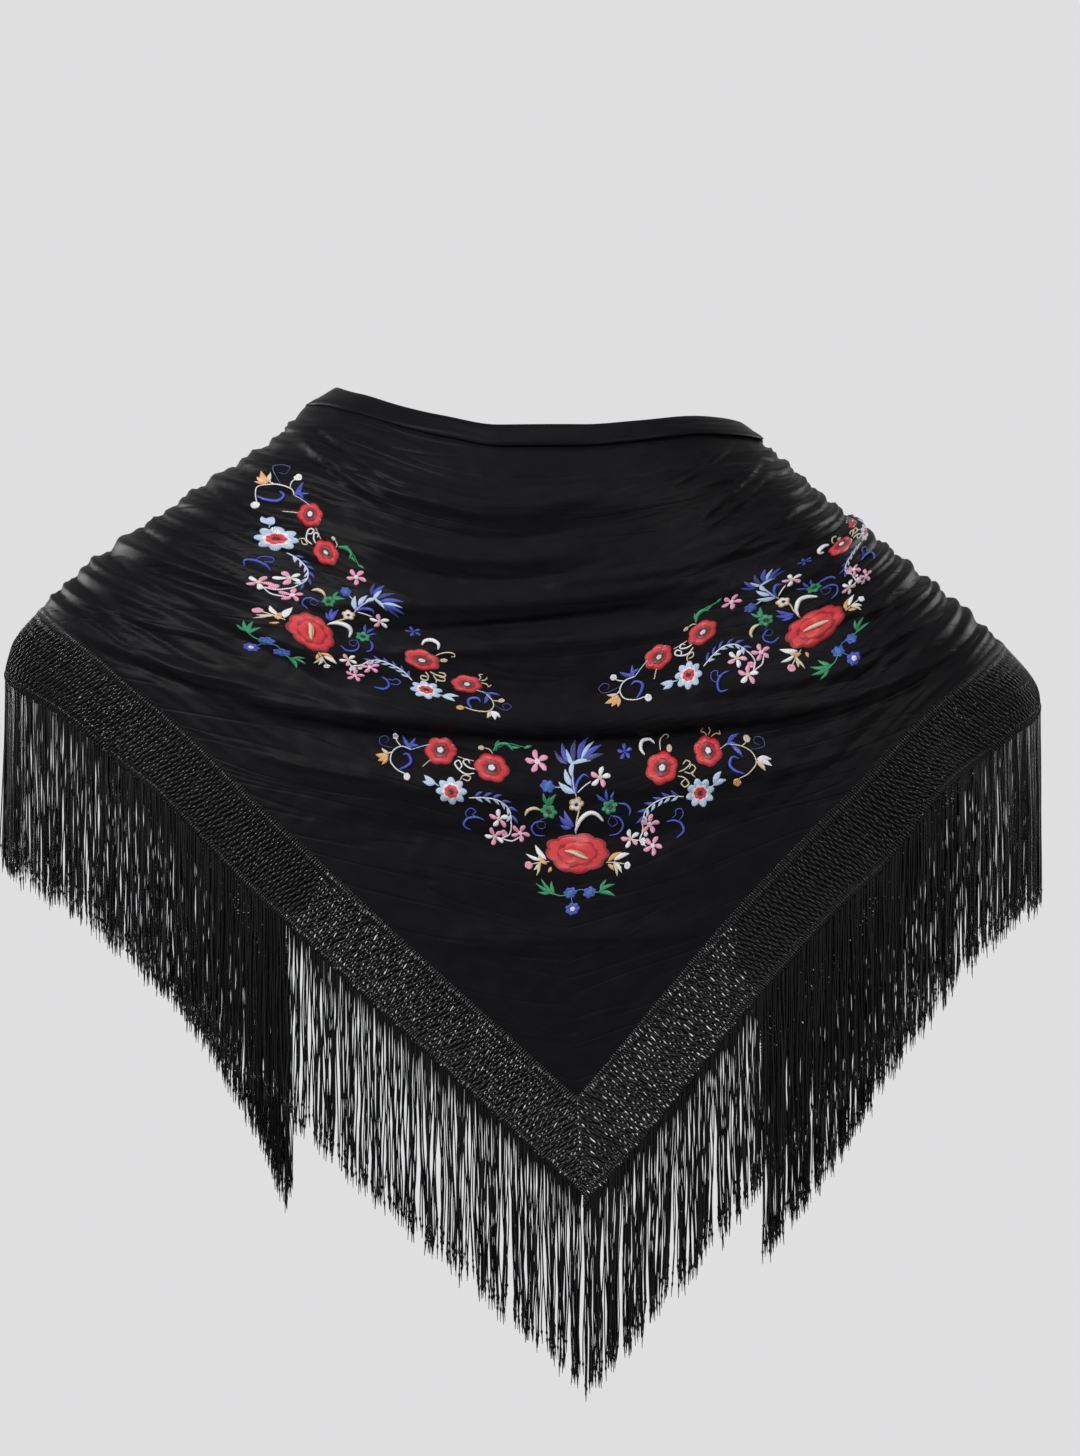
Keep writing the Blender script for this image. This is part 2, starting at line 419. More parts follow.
# Stems, scrolls and crescents, in mm, lifted off the cloth. A pearled cord is a row of small stitches.
Cord = namedtuple("Cord", "colour width ends pearled points lift", defaults=[0.12])
CORDS = [
    Cord("white", 1.1, 0.8, False, [(-48, 22), (-48, 16), (-50, 10), (-56, 6)]),
    Cord("white", 1.1, 0.8, False, [(-56, 6), (-48, 5), (-42, 9)]),
    Cord("white", 1.1, 0.8, False, [(49, 20), (50, 12), (48, 5), (53, 0)]),
    Cord("white", 1.1, 0.8, False, [(48, 5), (44, 5.5), (40, 7)]),
    Cord("royal_blue", 2.1, 0.3, False, [(-68, 19.5), (-74, 21.5), (-81, 20), (-84, 14.5), (-79, 10.5)]),
    Cord(
        "royal_blue", 1.0, 0.5, True,
        [(-81, 20), (-82, 25), (-78, 28.5), (-74.5, 26), (-77, 23), (-73, 22)],
    ),
    Cord("royal_blue", 2.1, 0.3, False, [(68, 18.5), (74, 19.5), (80, 17), (82, 11), (76.5, 5.5)]),
    Cord("royal_blue", 1.0, 0.5, True, [(78, 19), (81, 24), (79, 28), (75, 27), (75, 23.5), (72, 21)]),
    Cord("royal_blue", 1.6, 0.3, False, [(-24, 24), (-30, 22.5), (-33, 17.5), (-30, 12.5), (-23, 12.5)]),
    Cord("dark_blue", 1.0, 0.5, True, [(-24, 24), (-23, 20), (-26.5, 18), (-29, 21), (-26, 25), (-22, 27)]),
    Cord("royal_blue", 1.6, 0.3, False, [(25, 26), (31, 24), (34.5, 18), (31, 12), (24, 11)]),
    Cord("dark_blue", 1.0, 0.5, True, [(25, 26), (23, 21), (26.5, 18), (30, 20.5), (27, 25), (24, 27)]),
    Cord("cream", 2.8, 0.25, False, [(-26, 32.5), (-31, 33.5), (-35.5, 31), (-37.5, 26.5)]),
    Cord("royal_blue", 2.0, 0.3, False, [(30, 35), (36, 33.5), (39.5, 29), (39, 24.5)]),
    Cord("white", 3.4, 0.30, False, [(-1.5, 17), (2, 25), (8, 29.5), (14, 28.5), (19.5, 22.5)]),
    Cord("cream", 1.2, 0.8, False, [(-1.0, 15), (-0.5, 24), (1.5, 33)]),
    Cord("light_blue", 1.2, 0.8, False, [(-0.5, 43), (-2.5, 50), (-3.5, 60), (-3.5, 68)]),
    Cord("royal_blue", 2.4, 0.25, False, [(-1.5, 45), (0, 53), (4.5, 58), (8.5, 56)]),
    Cord("light_blue", 0.9, 0.8, True, [(-16, 51), (-10, 51), (-4, 47)]),
    Cord("white", 0.9, 0.8, False, [(10, 53), (5, 50), (0, 46)]),
    Cord("cream", 0.8, 0.8, True, [(-86, 68), (-80, 66), (-74, 65)]),
    Cord(
        "white", 1.3, 0.6, False,
        [(-74, 56), (-80, 55), (-85, 58), (-88, 63), (-85, 65), (-83, 61), (-86, 58)],
    ),
    Cord("white", 1.3, 0.6, False, [(-73, 59), (-78, 60), (-82, 64), (-79, 66), (-77, 63)]),
    Cord("cream", 1.1, 0.6, False, [(-85, 50), (-82, 54), (-77, 53), (-79, 50), (-83, 51.5)]),
    Cord("cream", 1.2, 0.6, False, [(75, 52), (80, 51), (84, 47), (81, 44.5), (78, 47), (81, 50)]),
    Cord("cream", 1.2, 0.6, False, [(76, 55), (81, 57), (85, 61), (82, 63), (79, 60)]),
    Cord("cream", 1.1, 0.6, False, [(80, 55), (86, 54), (89, 58), (86, 60), (84, 57)]),
    Cord("cream", 1.0, 0.6, False, [(89, 51), (86, 54), (88, 56)]),
    Cord("white", 3.0, 0.30, False, [(50, 67.5), (47, 72), (48.5, 77), (53.5, 78.5), (58, 75)]),
    Cord("cream", 1.0, 0.7, False, [(62, 70), (62, 77), (65, 82), (68.5, 81), (67.5, 78.5)]),
    Cord("cream", 0.9, 0.6, False, [(99, 80), (97, 83.5), (94, 84), (95, 87)]),
    Cord("cream", 0.9, 0.6, False, [(100, 81), (101, 85), (99, 88)]),
    Cord("cream", 0.9, 0.6, False, [(102, 80), (106, 83), (109, 82.5), (108, 86)]),
    Cord("green", 2.8, 0.30, False, [(-60, 73), (-55, 78.5), (-48.5, 79), (-45, 74.5)]),
    Cord("green", 0.9, 0.7, True, [(-56, 76), (-48, 79.5), (-40, 78), (-33, 77)]),
    Cord("cream", 0.9, 0.7, False, [(-66, 75), (-62, 74), (-60, 71)]),
    Cord("light_blue", 0.8, 0.8, True, [(-88, 76), (-98, 77), (-108, 76), (-120, 73)]),
    Cord("light_blue", 0.8, 0.8, True, [(108, 72), (114, 76), (122, 76)]),
    Cord(
        "white", 1.0, 0.8, False,
        [(-120, 73), (-128, 76), (-135, 73), (-137, 66), (-132, 59), (-125, 55)],
    ),
    Cord("white", 0.9, 0.8, False, [(-128, 76), (-131, 80), (-132, 84)]),
    Cord("white", 0.9, 0.8, False, [(-135, 73), (-139, 72)]),
    Cord(
        "royal_blue", 2.6, 0.30, False,
        [(-131, 59), (-125, 60.5), (-120.5, 64), (-122.5, 69.5), (-127, 70)],
    ),
    Cord(
        "dark_blue", 1.0, 0.5, True,
        [(-133, 75), (-139, 77), (-145, 80), (-145, 85), (-140, 86), (-138, 82), (-141, 80)],
    ),
    Cord("cream", 1.0, 0.8, False, [(116, 76), (124, 76), (131, 73), (134, 66), (129, 58), (122, 53)]),
    Cord("cream", 0.9, 0.8, False, [(124, 76), (127, 79), (128, 82)]),
    Cord("royal_blue", 2.6, 0.30, False, [(126, 57), (119, 58), (115, 62), (117, 67.5), (122, 67)]),
    Cord(
        "dark_blue", 1.0, 0.5, True,
        [(130, 75), (135, 76), (140, 79), (139, 84), (134, 84), (133, 80), (137, 79)],
    ),
    Cord("cream", 0.9, 0.8, True, [(-112, 60), (-107, 64), (-104, 66)]),
    Cord("light_blue", 0.9, 0.8, False, [(-100, 45), (-104, 48)]),
    Cord("light_blue", 0.9, 0.8, False, [(101, 44), (104, 47)]),
    Cord("cream", 1.0, 0.8, False, [(-20, -7), (-27, -9), (-35, -12)]),
    Cord("cream", 1.0, 0.8, False, [(22, -9), (29, -10), (38, -12)]),
    Cord("green", 1.0, 0.8, False, [(-20, -32), (-12, -32.5), (-5, -30)]),
    Cord("teal", 0.9, 0.8, True, [(-2, -29), (3, -28), (9, -30)]),
    Cord("green", 1.0, 0.8, False, [(12, -31), (17, -31.5), (22, -31)]),
    Cord("teal", 0.9, 0.8, True, [(-4, -33), (-3, -38)]),
    Cord("cream", 3.2, 0.25, False, [(-9, 3), (-3, 1), (3, -2.5), (8.5, -5)], 2.0),
    Cord("orange", 1.2, 0.40, False, [(-6, 3.4), (0, 1.4), (6, -2.2)], 2.9),
]
PEARL = 1.8
LEAF_SLENDER = 0.80
PETALS = 5
PETAL_WIDTH = 0.28
PETAL_GAP = 0.8

# How dark the shaded side of a stitch is and how light its lit side, as shares of its thread's colour
DARK_SHARE = 0.16
LIGHT_SHARE = 0.56

# Where each spray lies on the flat cut, as (across, down) in mm for its middle, and for each 100 mm to its
# own right and up. The last three bend its plan, as the worn cloth does.
Spray = namedtuple("Spray", "name middle right up right_right right_up up_up")
SPRAYS = [
    Spray("bottom", (8.8, 424.9), (95.7, 13.2), (5.5, -128.4), (0.9, 20.2), (3.7, -8.0), (-1.0, -7.3)),
    Spray("left", (-182.7, 252.4), (67.8, 60.1), (95.1, -64.2), (-6.3, -3.3), (-5.9, 8.5), (-4.5, -5.4)),
    Spray("right", (191.7, 243.9), (75.5, -79.7), (-56.7, -97.0), (3.4, 5.9), (16.4, 32.5), (12.2, 22.6)),
]


def smooth(rows, column, places):
    """A column of a table, read at any place by a smooth curve that never overshoots its rows."""
    x = np.array([row[0] for row in rows], float)
    y = np.array([getattr(row, column) for row in rows], float)
    if x[0] > x[-1]:
        x, y = x[::-1], y[::-1]
    step = np.diff(x)
    slope = np.diff(y) / step
    tangent = np.concatenate([[slope[0]], np.zeros(len(x) - 2), [slope[-1]]])
    same_way = slope[:-1] * slope[1:] > 0
    weight_a = 2 * step[1:] + step[:-1]
    weight_b = step[1:] + 2 * step[:-1]
    safe_a = np.where(same_way, slope[:-1], 1.0)
    safe_b = np.where(same_way, slope[1:], 1.0)
    mean = (weight_a + weight_b) / (weight_a / safe_a + weight_b / safe_b)
    tangent[1:-1] = np.where(same_way, mean, 0.0)
    places = np.clip(np.asarray(places, float), x[0], x[-1])
    i = np.clip(np.searchsorted(x, places) - 1, 0, len(step) - 1)
    r = (places - x[i]) / step[i]
    return (
        y[i] * (1 + 2 * r) * (1 - r) ** 2
        + step[i] * tangent[i] * r * (1 - r) ** 2
        + y[i + 1] * r**2 * (3 - 2 * r)
        + step[i] * tangent[i + 1] * r**2 * (r - 1)
    )


def ease(r):
    """0 to 1 with a soft start and end."""
    r = np.clip(r, 0.0, 1.0)
    return r * r * (3 - 2 * r)


def unit(vectors):
    return vectors / np.maximum(np.linalg.norm(vectors, axis=-1, keepdims=True), 1e-12)


def by_side(shares, table, column):
    """A column of a left and right table, at signed shares."""
    left = smooth(table["left"], column, np.abs(shares))
    right = smooth(table["right"], column, np.abs(shares))
    return np.where(shares < 0, left, right)


def form_point(shares, heights, angles):
    """The point of the worn shape at a height and an angle, on the side that the share's sign gives."""
    half = np.where(shares < 0, smooth(RINGS, "left", heights), smooth(RINGS, "right", heights))
    turn = np.radians(angles)
    forward = np.abs(np.cos(turn)) ** smooth(RINGS, "squareness", heights)
    depth = np.where(
        angles < 90.0,
        -smooth(RINGS, "back", heights) * forward,
        smooth(RINGS, "front", heights) * forward,
    )
    lean = LEAN_AT_NECK + (LEAN_AT_TIP - LEAN_AT_NECK) * heights / TIP_HEIGHT
    across = lean + np.where(shares < 0, -1.0, 1.0) * half * np.sin(turn)
    return np.stack([across, depth, heights], axis=-1)


def ring_arcs(shares, heights):
    """Lengths round the ring from the middle of the back to each angle step."""
    steps = np.linspace(0.0, 180.0, ANGLE_STEPS)
    count = len(heights)
    ring = form_point(
        np.repeat(shares, ANGLE_STEPS),
        np.repeat(heights, ANGLE_STEPS),
        np.tile(steps, count),
    ).reshape(count, ANGLE_STEPS, 3)
    lengths = np.linalg.norm(np.diff(ring, axis=1), axis=2)
    return steps, np.concatenate([np.zeros((count, 1)), np.cumsum(lengths, 1)], axis=1)


def arc_at_angle(shares, heights, angles):
    steps, arcs = ring_arcs(shares, heights)
    return np.array([np.interp(a, steps, arc) for a, arc in zip(angles, arcs)])


def edge_arc(shares, table):
    """How far round its ring an edge runs."""
    return arc_at_angle(shares, by_side(shares, table, "height"), by_side(shares, table, "angle"))


def angle_at_arc(shares, heights, lengths):
    """Angles at lengths round the ring, worked out in blocks to save memory."""
    angles = np.empty(len(shares))
    for start in range(0, len(shares), BLOCK):
        part = slice(start, start + BLOCK)
        steps, arcs = ring_arcs(shares[part], heights[part])
        angles[part] = [np.interp(x, arc, steps) for x, arc in zip(lengths[part], arcs)]
    return angles


def once_each(shares, values_at):
    """Values that depend on the share alone, worked out once for each different share."""
    different, places = np.unique(shares, return_inverse=True)
    return values_at(different)[places]


def crossing_share(table):
    """The share at which an edge passes over the outside of the arm, at 90 degrees."""
    return next(row.share for row in table if row.angle == 90.0)


def arm_line(shares):
    """Depth and height where a line of the cloth, square to the long edge, passes over the arm."""
    depth, height = np.zeros(len(shares)), np.zeros(len(shares))
    for side in SIDES:
        start, end = crossing_share(TOP_EDGE[side]), crossing_share(HEM[side])
        along = np.clip((np.abs(shares) - start) / (end - start), 0.0, 1.0)
        top = smooth(TOP_EDGE[side], "height", start)
        low = smooth(HEM[side], "height", end)
        mine = (shares < 0) == (side == "left")
        reach = start + (end - start) * along
        down = along * (1.0 - end)
        depth = np.where(mine, down / np.maximum(1.0 - reach, 1e-6), depth)
        height = np.where(mine, top + (low - top) * along, height)
    return np.clip(depth, 0.0, 1.0), height


def cloth_form(shares, depths):
    """The smooth worn shape, at a share of the long edge and a depth from that edge to the hem."""
    shares, depths = np.broadcast_arrays(
        np.atleast_1d(shares).astype(float), np.atleast_1d(depths).astype(float)
    )
    shape = shares.shape
    shares, depths = shares.ravel(), depths.ravel()
    top = by_side(shares, TOP_EDGE, "height")
    low = by_side(shares, HEM, "height")
    top_arc = once_each(shares, lambda s: edge_arc(s, TOP_EDGE))
    low_arc = once_each(shares, lambda s: edge_arc(s, HEM))
    arm_depth, arm = arm_line(shares)
    arm_arc = once_each(shares, lambda s: arc_at_angle(s, arm_line(s)[1], np.full(len(s), 90.0)))
    over = (arm_depth > 0.0) & (arm_depth < 1.0)
    before = np.clip(depths / np.maximum(arm_depth, 1e-6), 0.0, 1.0)
    after = np.clip((depths - arm_depth) / np.maximum(1.0 - arm_depth, 1e-6), 0.0, 1.0)
    in_front = over & (depths < arm_depth)
    height = np.where(
        in_front,
        top + (arm - top) * before,
        np.where(over, arm + (low - arm) * after, top + (low - top) * depths),
    )
    arc = np.where(
        in_front,
        top_arc + (arm_arc - top_arc) * before,
        np.where(over, arm_arc + (low_arc - arm_arc) * after, top_arc + (low_arc - top_arc) * depths),
    )
    points = form_point(shares, height, angle_at_arc(shares, height, arc))
    return points.reshape(*shape, 3)


def gather_levels(side):
    """Depths of the troughs between gathers, from their spacing along the top of the arm."""
    spacing = np.array([gather.spacing for gather in GATHERS[side]])
    along = np.concatenate([[0.0], np.cumsum(spacing)]) / spacing.sum()
    start, end = crossing_share(TOP_EDGE[side]), crossing_share(HEM[side])
    return along * (1.0 - end) / (1.0 - start - (end - start) * along)


def gather_relief(shares, depths, finer=0.0):
    """How far the gathers lift the cloth. Finer adds a smaller second crest to each of them."""
    relief = np.zeros(len(shares))
    for side in SIDES:
        mine = (shares < 0) == (side == "left")
        levels = gather_levels(side)
        start, end = crossing_share(TOP_EDGE[side]), crossing_share(HEM[side])
        for number, (gather, low, high) in enumerate(zip(GATHERS[side], levels[:-1], levels[1:])):
            r = np.clip((depths - low) / (high - low), 0.0, 1.0) ** GATHER_SKEW
            crest = np.maximum(np.sin(np.pi * r), 0.0) ** CREST_POWER
            crests = 2 + number % 2
            ripple = np.sin(2 * np.pi * crests * r + RIPPLE_SLANT * shares + number) * crest
            crest = crest + finer * ripple
            on_arm = start + (end - start) * (low + high) / 2
            inward = np.clip(on_arm - np.abs(shares), 0.0, None)
            outward = np.clip(np.abs(shares) - on_arm, 0.0, None)
            fade = np.exp(-((inward / (GATHER_STRETCH * gather.reach)) ** 2))
            room = np.clip((1.0 - np.abs(shares)) / (1.0 - on_arm), 0.0, 1.0)
            front = 1.0 - (1.0 - FRONT_GATHER_SHARE) * ease(outward / FRONT_GATHER_FADE)
            relief += np.where(mine, gather.height * crest * fade * np.minimum(front, room), 0.0)
    near_long_edge = ease(depths * (1.0 - np.abs(shares)) * HALF_WIDTH / GATHER_START)
    near_hem = 1.0 - GATHER_HEM_LOSS * ease((depths - GATHER_HEM) / (1.0 - GATHER_HEM))
    return relief * near_long_edge * near_hem


def fold_relief(depths, points, back=BACK_FOLDS, front=FRONT_FOLDS):
    """How far folds lift the cloth, or sink it where their height is negative."""
    relief = np.zeros(len(depths))
    for folds, facing in ((back, -1.0), (front, 1.0)):
        clear = ease(points[:, 1] * facing / RIDGE_CLEARANCE)
        for fold in folds:
            r = np.clip((points[:, 0] - fold.start) / (fold.end - fold.start), 0.0, 1.0)
            line = fold.start_height + (fold.end_height - fold.start_height) * r
            line = line - fold.sag * 4 * r * (1 - r)
            ends = ease(r / FOLD_TAPER) * ease((1 - r) / FOLD_TAPER)
            over = points[:, 2] - line
            width = fold.width * np.where((over < 0) == (fold.height > 0), UNDER_SHARE, OVER_SHARE)
            profile = np.exp(-((over / width) ** 2))
            relief += fold.height * clear * ends * profile
    near_hem = 1.0 - FOLD_HEM_LOSS * ease((depths - FOLD_HEM) / (1.0 - FOLD_HEM))
    return relief * ease(depths / FOLD_START) * near_hem


def outward(shares, depths):
    """Unit normals of the smooth worn shape, pointing away from the wearer."""
    share_step, depth_step = 0.004, 0.012
    wide = cloth_form(shares + share_step, depths) - cloth_form(shares - share_step, depths)
    down = cloth_form(shares, np.minimum(depths + depth_step, 1.0)) - cloth_form(
        shares, np.maximum(depths - depth_step, 0.0)
    )
    return unit(np.cross(down, wide))


# The cloth's looks: its thickness and how finely it is divided on the flat
CLOTH_THICKNESS = 0.0009
COLUMN_PITCH = 0.0036
ROW_PITCH = 0.0028

# What the looks add to the model's relief: gathers that reach further and have fuller crests with smaller
# ones on them, folds with a sharp underside, fine creases and a slight crinkle
GATHER_STRETCH = 1.3
CREST_POWER = 0.75
FINER_GATHERS = 0.30
RIPPLE_SLANT = 40.0
OVER_SHARE = 1.15
UNDER_SHARE = 0.50
CREASE_SHARE = 1.2
CRINKLE = 0.00022

# How many angles are worked out at once, to save memory
BLOCK = 6000

# The flap's section, from its free edge round to the cloth: steps down the cloth as shares of the flap's
# width, and lifts as shares of its lift. The flap lies closer to the cloth from FADE_START on, to the
# wearer's left.
FLAP_FADE = 0.66
FLAP_SECTION = [
    (1.0, 1.0), (0.75, 1.0), (0.5, 1.0), (0.25, 1.0), (0.10, 0.95),
    (0.02, 0.72), (0.0, 0.5), (0.02, 0.18), (0.10, 0.02),
]
FLAP_LEVELS_OVER = 7
FADE_START = 0.060
FADE_LENGTH = 0.070

# The net band's threads. Across is 0 at the hem and 1 at the fringe. The hem's slope is read at NET_STEPS
# places, held to STEEPEST and evened out over EVENED of them.
NET_STEPS = 720
STEEPEST = 1.36
EVENED = 25
RIB_PITCH = 0.0020
LOWER_RIB_PITCH = 0.0019
DASH_PITCH = 0.0021
UNDER_PITCH = 0.0021
UPPER_BORDER = (-0.040, 0.130)
LOWER_BORDER = (0.850, 1.000)
NET_MIDDLE = (0.120, 0.860)
MIDDLE_ROWS = 6
RIB_RADIUS = 0.00084
DASH_RADIUS = 0.00086
UNDER_RADIUS = 0.00112
LINE_RADIUS = 0.00075
LINE_STEP = 0.0017
LINE_WAVE = 0.0058
LINES_ACROSS = [0.0, *NET_MIDDLE, 0.985]
THREAD_UNEVENNESS = 0.14

# The fringe's strands
STRANDS_PER_PIECE = 600
STRAND_RADIUS = 0.00050
STRAND_POINTS = 12
CLUMP = 7
ROOT_ACROSS = 0.975
CLUMP_SWAY = 0.0034
OWN_SWAY = 0.0030
WAVE_SWAY = 0.0009
CLUMP_OUT = 0.0024
OWN_OUT = 0.0022
KNOTTED_SHARE = 0.25
KNOT_SIZE = 1.9
END_KNOT_SIZE = 2.1


def unit_noise(count, seed):
    """Repeatable random numbers from -1 to 1."""
    return np.random.default_rng(seed).uniform(-1.0, 1.0, count)


def cloth_relief(shares, depths, points):
    """How far the gathers, folds, fine creases and crinkle lift the cloth from its smooth form."""
    creases = CREASE_SHARE * fold_relief(depths, points, BACK_CREASES, FRONT_CREASES)
    across, down = points[:, 0] + 0.3 * points[:, 1], points[:, 2]
    crinkle = np.sin(210 * across + 3.0 * np.sin(55 * down)) * np.sin(160 * down + 2.0 * np.sin(70 * across))
    crinkle += 0.7 * np.sin(95 * across - 120 * down + 2.5 * np.sin(40 * across))
    near_edges = ease(depths / 0.05) * ease((1.0 - depths) / 0.04)
    folded = gather_relief(shares, depths, FINER_GATHERS) + fold_relief(depths, points)
    return folded + creases + CRINKLE * crinkle * near_edges


class Lattice:
    """The worn cloth as rows and columns of the flat cut, for the cloth and all that is sewn to it."""

    def __init__(self):
        side = int(CORNER_SHARE * HALF_WIDTH / COLUMN_PITCH)
        self.across = np.arange(-side, side + 1) * COLUMN_PITCH
        self.lengths = HALF_WIDTH - np.abs(self.across)
        self.down = np.arange(int(HALF_WIDTH / ROW_PITCH) + 1) * ROW_PITCH
        self.inside = self.down[:, None] < self.lengths[None, :] - 0.4 * ROW_PITCH
        shares = np.broadcast_to(self.across / HALF_WIDTH, self.inside.shape)
        depths = np.minimum(self.down[:, None] / self.lengths[None, :], 1.0)
        hem_shares = self.across / HALF_WIDTH
        hem = cloth_form(hem_shares, 1.0)
        form = np.broadcast_to(hem, (*self.inside.shape, 3)).copy()
        form[self.inside] = cloth_form(shares[self.inside], depths[self.inside])
        normals = unit(np.cross(np.gradient(form, axis=0), np.gradient(form, axis=1)))
        last = self.inside.sum(axis=0) - 1
        hem_normals = outward(hem_shares, np.ones(len(hem_shares)))
        relief = np.zeros(self.inside.shape)
        relief[self.inside] = cloth_relief(shares[self.inside], depths[self.inside], form[self.inside])
        hem_lift = cloth_relief(hem_shares, np.ones(len(hem_shares)), hem)
        self.hem = hem + hem_normals * hem_lift[:, None]
        self.points = form + normals * relief[:, :, None]
        for column, row in enumerate(last):
            self.points[row + 1 :, column] = self.hem[column]
            normals[row + 1 :, column] = hem_normals[column]
        self.normals = normals
        self.last = last

    def at(self, across, down):
        """Points and normals of the cloth's middle at flat places."""
        i = np.clip((across - self.across[0]) / COLUMN_PITCH, 0, len(self.across) - 1.001)
        j = np.clip(down / ROW_PITCH, 0, len(self.down) - 1.001)
        column, row = i.astype(int), j.astype(int)
        p, q = (i - column)[:, None], (j - row)[:, None]
        placed = []
        for table in (self.points, self.folded_normals()):
            upper = table[row, column] * (1 - p) + table[row, column + 1] * p
            lower = table[row + 1, column] * (1 - p) + table[row + 1, column + 1] * p
            placed.append(upper * (1 - q) + lower * q)
        return placed[0], unit(placed[1])

    def folded_normals(self):
        """Normals of the cloth with its folds, worked out once."""
        if not hasattr(self, "_folded"):
            wide, tall = np.gradient(self.points, axis=1), np.gradient(self.points, axis=0)
            folded = np.cross(tall, wide)
            small = np.linalg.norm(folded, axis=2) < 1e-12
            folded[small] = self.normals[small]
            self._folded = unit(folded)
        return self._folded


def stitch(first, second, first_marks, second_marks):
    """Triangles between two columns of point numbers. Points with like marks are joined."""
    faces, i, j = [], 0, 0
    while i < len(first) - 1 or j < len(second) - 1:
        first_is_done, second_is_done = i == len(first) - 1, j == len(second) - 1
        if second_is_done or (not first_is_done and first_marks[i + 1] <= second_marks[j + 1]):
            faces.append((first[i], first[i + 1], second[j]))
            i += 1
        else:
            faces.append((first[i], second[j + 1], second[j]))
            j += 1
    return faces


def vertex_normals(points, faces):
    a, b, c = points[faces[:, 0]], points[faces[:, 1]], points[faces[:, 2]]
    face_normals = np.cross(b - a, c - a)
    normals = np.zeros_like(points)
    for corner in range(3):
        np.add.at(normals, faces[:, corner], face_normals)
    return unit(normals)


def add_mesh(name, points, faces, materials, numbers=None, flat=None):
    """A smooth mesh object. Faces is an array with three or four corners in each row."""
    mesh = bpy.data.meshes.new(name)
    count, corners = faces.shape
    mesh.vertices.add(len(points))
    mesh.vertices.foreach_set("co", np.asarray(points, np.float32).ravel())
    mesh.loops.add(count * corners)
    mesh.loops.foreach_set("vertex_index", faces.astype(np.int32).ravel())
    mesh.polygons.add(count)
    mesh.polygons.foreach_set("loop_start", (np.arange(count) * corners).astype(np.int32))
    if numbers is not None:
        mesh.polygons.foreach_set("material_index", numbers.astype(np.int32))
    mesh.update(calc_edges=True)
    if flat is not None:
        layer = mesh.uv_layers.new(name="flat")
        layer.data.foreach_set("uv", flat[faces.ravel()].astype(np.float32).ravel())
    mesh.validate()
    mesh.shade_smooth()
    for material in materials:
        mesh.materials.append(material)
    item = bpy.data.objects.new(name, mesh)
    bpy.context.scene.collection.objects.link(item)
    return item


def build_cloth(lattice, material):
    """The triangle of cloth as a thin shell, with its long edge turned over outwards as a flap."""
    points, flat, columns, total = [], [], [], 0
    top_normals = outward(lattice.across / HALF_WIDTH, np.zeros(len(lattice.across)))
    for column, across in enumerate(lattice.across):
        length = lattice.lengths[column]
        flap = min(FLAP_WIDTH, 0.35 * length)
        uneven = 1.0 + 0.10 * math.sin(23 * across) + 0.08 * math.sin(71 * across + 1.0)
        uneven *= 1.0 - FLAP_FADE * float(ease((-across - FADE_START) / FADE_LENGTH))
        steps, lifts = np.array(FLAP_SECTION).T * [[flap], [FLAP_LIFT * uneven]]
        places = np.full(len(steps), across)
        folded = lattice.at(places, steps)[0] + top_normals[column] * lifts[:, None]
        rows = np.arange(1, lattice.last[column] + 1)
        rows = rows[lattice.down[rows] > 0.14 * flap]
        points += [folded, lattice.points[rows, column], lattice.hem[column][None]]
        down = np.concatenate([steps, lattice.down[rows], [length]])
        shown = np.concatenate([-steps[:FLAP_LEVELS_OVER], down[FLAP_LEVELS_OVER:]])
        flat.append(np.stack([np.full(len(down), across), shown], axis=1))
        columns.append((np.arange(len(down)) + total, down))
        total += len(down)
    faces = []
    fold = len(FLAP_SECTION)
    marks = np.arange(fold)
    for (first, first_down), (second, second_down) in zip(columns[:-1], columns[1:]):
        faces += stitch(first[:fold], second[:fold], marks, marks)
        below = slice(fold - 1, None)
        faces += stitch(first[below], second[below], first_down[below], second_down[below])
    points, faces = np.concatenate(points), np.array(faces)
    flat = np.concatenate(flat)
    normals = vertex_normals(points, faces)
    outer, inner = points + normals * CLOTH_THICKNESS / 2, points - normals * CLOTH_THICKNESS / 2
    count = len(points)
    closed = [faces, faces[:, ::-1] + count]
    edges = np.concatenate([faces[:, [0, 1]], faces[:, [1, 2]], faces[:, [2, 0]]])
    known = set(map(tuple, edges.tolist()))
    rim = np.array([(a, b) for a, b in known if (b, a) not in known])
    rim = rim[np.lexsort((rim[:, 1], rim[:, 0]))]
    a, b = rim[:, 0], rim[:, 1]
    closed += [np.stack([b, a, a + count], 1), np.stack([b, a + count, b + count], 1)]
    return add_mesh(
        "cloth_looks",
        np.concatenate([outer, inner]),
        np.concatenate(closed),
        [material],
        flat=np.concatenate([flat, flat]),
    )


def tubes(paths, radii, facing, sides=3):
    """Points and faces of thin round threads. Paths has a row of points for each thread."""
    count, length = paths.shape[:2]
    along = unit(np.gradient(paths, axis=1))
    across = unit(np.cross(along, np.broadcast_to(facing, paths.shape)))
    out = np.cross(across, along)
    turns = 2 * np.pi * (np.arange(sides) + 0.25) / sides
    ring = across[:, :, None] * np.cos(turns)[:, None] + out[:, :, None] * np.sin(turns)[:, None]
    points = paths[:, :, None] + ring * np.broadcast_to(radii, (count, length))[:, :, None, None]
    index = np.arange(count * length * sides).reshape(count, length, sides)
    a, c = index[:, :-1], index[:, 1:]
    b, d = np.roll(a, -1, axis=2), np.roll(c, -1, axis=2)
    faces = np.stack([a, c, d, b], axis=-1).reshape(-1, 4)
    return points.reshape(-1, 3), faces


